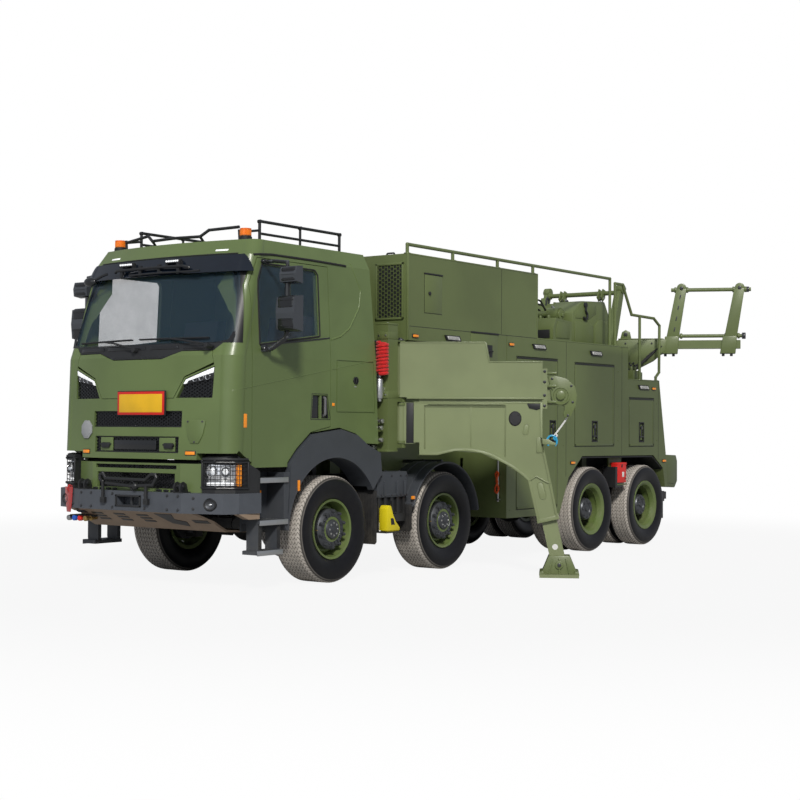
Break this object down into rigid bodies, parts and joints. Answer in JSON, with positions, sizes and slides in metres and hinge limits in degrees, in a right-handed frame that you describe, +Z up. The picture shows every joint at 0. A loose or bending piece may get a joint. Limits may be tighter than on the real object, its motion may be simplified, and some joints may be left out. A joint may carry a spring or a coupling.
{
  "type": "four-axle heavy recovery truck",
  "caption": "Heavy recovery truck with twin steered front axles, a tilting cab, hollow lockers, swinging support arms with legs, a mast and a slewing rear arm.",
  "frame": {"origin": "on the ground, on the centre plane, under the first axle", "axes": "+X forward along the truck, +Y to its left, +Z up"},
  "size_m": [9.5225, 4.3755, 3.5765],
  "materials": {
    "olive_paint": "satin",
    "black_steel": "satin",
    "grey_steel": "satin",
    "cast_iron": "rough",
    "black_plastic": "matte",
    "grey_plastic": "satin",
    "interior_plastic": "matte",
    "tinted_glass": "clear",
    "visor_tint": "gloss",
    "green_rim": "satin",
    "tyre_rubber": "matte",
    "amber_lens": "gloss",
    "clear_lens": "clear",
    "plate": "gloss",
    "zinc": "satin",
    "rope": "woven"
  },
  "bodies": {
    "chassis": {"chassis_frame": "black_steel", "engine_block": "cast_iron", "axle_beams": "black_steel", "front_bumper": "grey_steel", "front_valance": "olive_paint", "front_tow_frame": "black_steel", "headlamps": "black_plastic", "mudguards_and_steps": "black_plastic", "side_boxes": "black_steel", "equipment_body": "olive_paint", "upper_box": "olive_paint", "handrails": "olive_paint", "arm_posts": "olive_paint", "rear_bumper": "black_steel", "winch_housing": "olive_paint"},
    "cab": {"cab_shell": "olive_paint", "windscreen": "tinted_glass", "cab_interior": "interior_plastic", "grille": "black_plastic", "sun_visor": "visor_tint", "roof_rack": "black_steel"},
    "front_lid": {"front_lid": "olive_paint"},
    "door_left": {"door_panel_left": "olive_paint", "door_glass_left": "tinted_glass", "mirrors_left": "grey_plastic"},
    "flap_1_left": {"locker_door_1_left": "olive_paint"},
    "flap_2_left": {"locker_door_2_left": "olive_paint"},
    "flap_3_left": {"locker_door_3_left": "olive_paint"},
    "door_right": {"door_panel_right": "olive_paint", "door_glass_right": "tinted_glass", "mirrors_right": "grey_plastic"},
    "flap_1_right": {"locker_door_1_right": "olive_paint"},
    "flap_2_right": {"locker_door_2_right": "olive_paint"},
    "flap_3_right": {"locker_door_3_right": "olive_paint"},
    "arm_left": {"side_arm_left": "olive_paint"},
    "leg_left": {"side_leg_left": "olive_paint"},
    "arm_right": {"side_arm_right": "olive_paint"},
    "leg_right": {"side_leg_right": "olive_paint"},
    "mast": {"a_frame_mast": "olive_paint"},
    "rear_arm": {"rear_arm": "olive_paint"},
    "knuckle_1_left": {"knuckle_1_left": "cast_iron"},
    "wheel_1_left": {"rim_1_left": "green_rim", "tyre_1_left": "tyre_rubber"},
    "knuckle_1_right": {"knuckle_1_right": "cast_iron"},
    "wheel_1_right": {"rim_1_right": "green_rim", "tyre_1_right": "tyre_rubber"},
    "knuckle_2_left": {"knuckle_2_left": "cast_iron"},
    "wheel_2_left": {"rim_2_left": "green_rim", "tyre_2_left": "tyre_rubber"},
    "knuckle_2_right": {"knuckle_2_right": "cast_iron"},
    "wheel_2_right": {"rim_2_right": "green_rim", "tyre_2_right": "tyre_rubber"},
    "wheel_3_left": {"rim_3_left": "green_rim", "tyres_3_left": "tyre_rubber"},
    "wheel_3_right": {"rim_3_right": "green_rim", "tyres_3_right": "tyre_rubber"},
    "wheel_4_left": {"rim_4_left": "green_rim", "tyres_4_left": "tyre_rubber"},
    "wheel_4_right": {"rim_4_right": "green_rim", "tyres_4_right": "tyre_rubber"}
  },
  "joints": [
    {"name": "cab_tilt", "type": "hinge", "parent": "chassis", "child": "cab", "pos_m": [1.44, 0, 0.9], "axis": [0, 1, 0], "range_deg": [0, 60]},
    {"name": "front_lid_hinge", "type": "hinge", "parent": "cab", "child": "front_lid", "pos_m": [1.58, 0, 2.29], "axis": [0, -1, 0], "range_deg": [0, 65]},
    {"name": "door_left_hinge", "type": "hinge", "parent": "cab", "child": "door_left", "pos_m": [1.215, 1.155, 2], "axis": [0, 0, -1], "range_deg": [0, 75]},
    {"name": "flap_1_left_hinge", "type": "hinge", "parent": "chassis", "child": "flap_1_left", "pos_m": [-3.74, 1.252, 2.392], "axis": [1, 0, 0], "range_deg": [0, 95]},
    {"name": "flap_2_left_hinge", "type": "hinge", "parent": "chassis", "child": "flap_2_left", "pos_m": [-5.14, 1.252, 2.372], "axis": [1, 0, 0], "range_deg": [0, 95]},
    {"name": "flap_3_left_hinge", "type": "hinge", "parent": "chassis", "child": "flap_3_left", "pos_m": [-6.415, 1.252, 1.962], "axis": [1, 0, 0], "range_deg": [0, 95]},
    {"name": "door_right_hinge", "type": "hinge", "parent": "cab", "child": "door_right", "pos_m": [1.215, -1.155, 2], "axis": [0, 0, 1], "range_deg": [0, 75]},
    {"name": "flap_1_right_hinge", "type": "hinge", "parent": "chassis", "child": "flap_1_right", "pos_m": [-3.74, -1.252, 2.392], "axis": [-1, 0, 0], "range_deg": [0, 95]},
    {"name": "flap_2_right_hinge", "type": "hinge", "parent": "chassis", "child": "flap_2_right", "pos_m": [-5.14, -1.252, 2.372], "axis": [-1, 0, 0], "range_deg": [0, 95]},
    {"name": "flap_3_right_hinge", "type": "hinge", "parent": "chassis", "child": "flap_3_right", "pos_m": [-6.415, -1.252, 1.962], "axis": [-1, 0, 0], "range_deg": [0, 95]},
    {"name": "arm_left_swing", "type": "hinge", "parent": "chassis", "child": "arm_left", "pos_m": [-1.12, 1.15, 1.9], "axis": [0, 0, 1], "range_deg": [-31, 59]},
    {"name": "leg_left_slide", "type": "slide", "parent": "arm_left", "child": "leg_left", "axis": [0.1115, -0.1855, 0.9763], "range_m": [0, 0.3]},
    {"name": "arm_right_swing", "type": "hinge", "parent": "chassis", "child": "arm_right", "pos_m": [-1.12, -1.15, 1.9], "axis": [0, 0, 1], "range_deg": [0, 90]},
    {"name": "leg_right_slide", "type": "slide", "parent": "arm_right", "child": "leg_right", "axis": [0.2164, 0, 0.9763], "range_m": [-0.3, 0]},
    {"name": "mast_tilt", "type": "hinge", "parent": "chassis", "child": "mast", "pos_m": [-6.62, 0, 2.33], "axis": [0, 1, 0], "range_deg": [0, 25]},
    {"name": "rear_arm_slew", "type": "hinge", "parent": "chassis", "child": "rear_arm", "pos_m": [-6.95, 0.5, 2.5], "axis": [0, 0, 1], "range_deg": [-10, 65]},
    {"name": "steer_1_left", "type": "hinge", "parent": "chassis", "child": "knuckle_1_left", "pos_m": [0, 0.8, 0.535], "axis": [0, 0, 1], "range_deg": [-28, 28]},
    {"name": "wheel_1_left_roll", "type": "hinge", "parent": "knuckle_1_left", "child": "wheel_1_left", "pos_m": [0, 0.98, 0.535], "axis": [0, 1, 0], "continuous": true},
    {"name": "steer_1_right", "type": "hinge", "parent": "chassis", "child": "knuckle_1_right", "pos_m": [0, -0.8, 0.535], "axis": [0, 0, 1], "range_deg": [-28, 28]},
    {"name": "wheel_1_right_roll", "type": "hinge", "parent": "knuckle_1_right", "child": "wheel_1_right", "pos_m": [0, -0.98, 0.535], "axis": [0, 1, 0], "continuous": true},
    {"name": "steer_2_left", "type": "hinge", "parent": "chassis", "child": "knuckle_2_left", "pos_m": [-1.943, 0.8, 0.535], "axis": [0, 0, 1], "range_deg": [-18.7, 18.7]},
    {"name": "wheel_2_left_roll", "type": "hinge", "parent": "knuckle_2_left", "child": "wheel_2_left", "pos_m": [-1.943, 0.98, 0.535], "axis": [0, 1, 0], "continuous": true},
    {"name": "steer_2_right", "type": "hinge", "parent": "chassis", "child": "knuckle_2_right", "pos_m": [-1.943, -0.8, 0.535], "axis": [0, 0, 1], "range_deg": [-18.7, 18.7]},
    {"name": "wheel_2_right_roll", "type": "hinge", "parent": "knuckle_2_right", "child": "wheel_2_right", "pos_m": [-1.943, -0.98, 0.535], "axis": [0, 1, 0], "continuous": true},
    {"name": "wheel_3_left_roll", "type": "hinge", "parent": "chassis", "child": "wheel_3_left", "pos_m": [-5.108, 0.925, 0.535], "axis": [0, 1, 0], "continuous": true},
    {"name": "wheel_3_right_roll", "type": "hinge", "parent": "chassis", "child": "wheel_3_right", "pos_m": [-5.108, -0.925, 0.535], "axis": [0, 1, 0], "continuous": true},
    {"name": "wheel_4_left_roll", "type": "hinge", "parent": "chassis", "child": "wheel_4_left", "pos_m": [-6.571, 0.925, 0.535], "axis": [0, 1, 0], "continuous": true},
    {"name": "wheel_4_right_roll", "type": "hinge", "parent": "chassis", "child": "wheel_4_right", "pos_m": [-6.571, -0.925, 0.535], "axis": [0, 1, 0], "continuous": true}
  ],
  "couplings": [
    {"joint": "steer_1_right", "follows": "steer_1_left", "ratio": 1},
    {"joint": "steer_2_left", "follows": "steer_1_left", "ratio": 0.6667},
    {"joint": "steer_2_right", "follows": "steer_1_left", "ratio": 0.6667}
  ]
}
